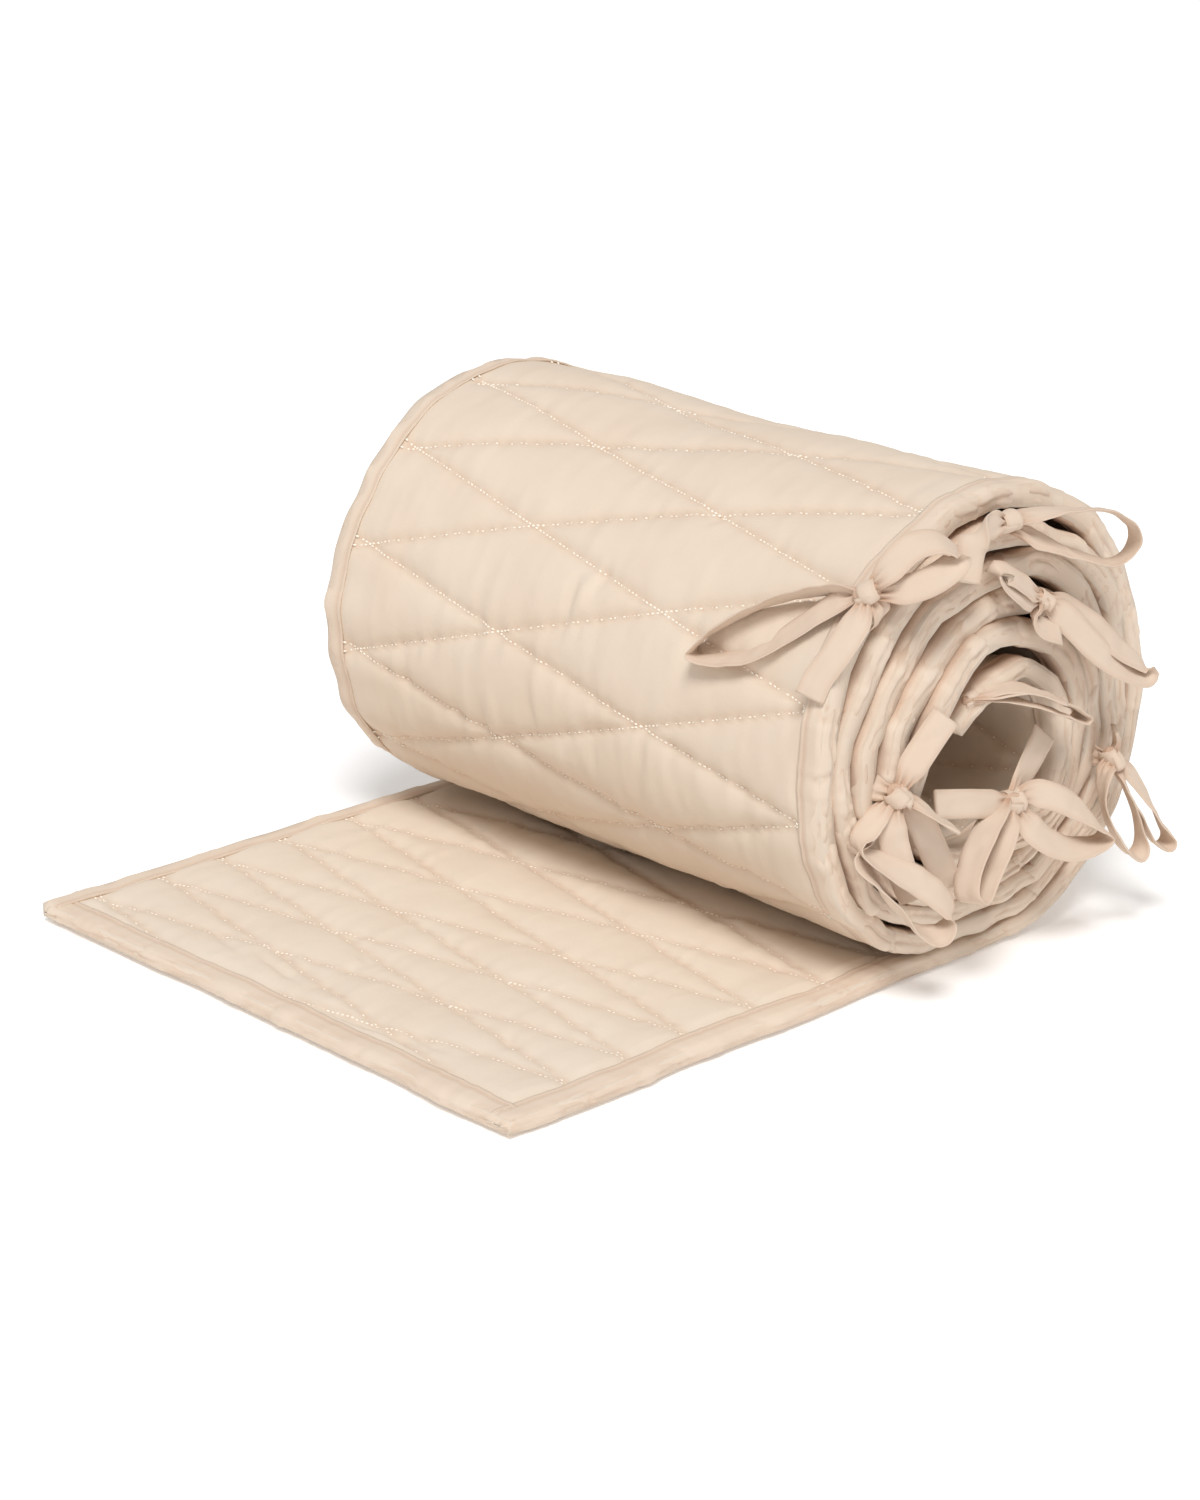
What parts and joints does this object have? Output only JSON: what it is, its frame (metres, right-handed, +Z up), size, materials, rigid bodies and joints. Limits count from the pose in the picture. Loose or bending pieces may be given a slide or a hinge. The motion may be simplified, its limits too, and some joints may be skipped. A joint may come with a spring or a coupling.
{
  "type": "rolled quilted crib bumper",
  "caption": "Quilted cotton crib bumper with bound edges and ribbon ties, rolled up with its outer end lying flat.",
  "frame": {"origin": "on the surface, in the middle of the footprint of the whole object", "axes": "+X along the flat end towards the roll, +Y along the roll's axis away from the ties, +Z up"},
  "size_m": [0.3625, 0.3332, 0.2],
  "materials": {
    "quilted_cotton": "matt beige cotton sateen, diamond quilted over polyester padding",
    "binding_cotton": "matt beige cotton, folded over the edge and topstitched",
    "ribbon_cotton": "matt beige cotton strip, folded and topstitched"
  },
  "bodies": {
    "root": {"quilted_panel": "quilted_cotton", "binding_tied_edge": "binding_cotton", "binding_plain_edge": "binding_cotton", "binding_outer_end": "binding_cotton", "binding_inner_end": "binding_cotton", "tie_1": "ribbon_cotton", "tie_2": "ribbon_cotton", "tie_3": "ribbon_cotton", "tie_4": "ribbon_cotton", "tie_5": "ribbon_cotton", "tie_6": "ribbon_cotton", "tie_7": "ribbon_cotton"}
  },
  "joints": []
}
